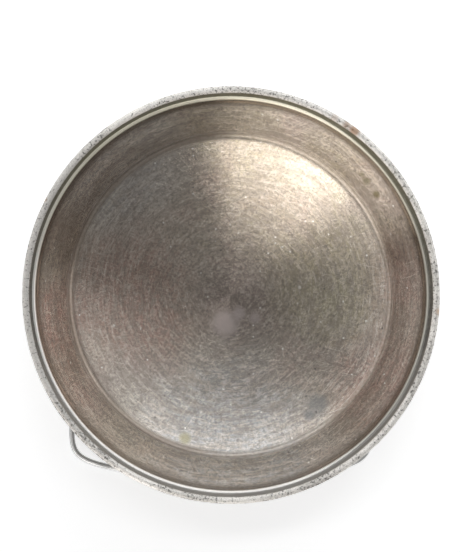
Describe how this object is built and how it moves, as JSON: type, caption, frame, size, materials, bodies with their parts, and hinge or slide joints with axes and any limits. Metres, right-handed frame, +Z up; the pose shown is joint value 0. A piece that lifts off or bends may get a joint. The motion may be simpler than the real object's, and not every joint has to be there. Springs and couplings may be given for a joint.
{
  "type": "gold pan",
  "caption": "Shallow round steel pan with a stepped, wired rim, sloping wall and gently dished floor, and a loose wire bail hinged in two welded ears low on the outside.",
  "frame": {"origin": "centre of the pan's flat bottom, on the surface that it stands on", "axes": "+Z up out of the pan's mouth, along its axis; X along the bail's hinge line; the bail lies towards -Y at rest"},
  "size_m": [0.356, 0.356, 0.0635],
  "materials": {
    "pan_steel": "old pressed steel, brushed in circles, tarnished brown, with a lighter pitted rim",
    "core_wire_steel": "plain drawn wire",
    "ear_steel": "dull pressed strip, spot welded",
    "bail_wire_steel": "smooth grey plated wire"
  },
  "bodies": {
    "pan": {"pan_body": "pan_steel", "rim_wire": "core_wire_steel", "left_ear": "ear_steel", "right_ear": "ear_steel"},
    "bail": {"bail_handle": "bail_wire_steel"}
  },
  "joints": [
    {"name": "bail_swing", "type": "hinge", "parent": "pan", "child": "bail", "pos_m": [0, 0, 0.012], "axis": [1, 0, 0], "range_deg": [-6, 180]}
  ]
}
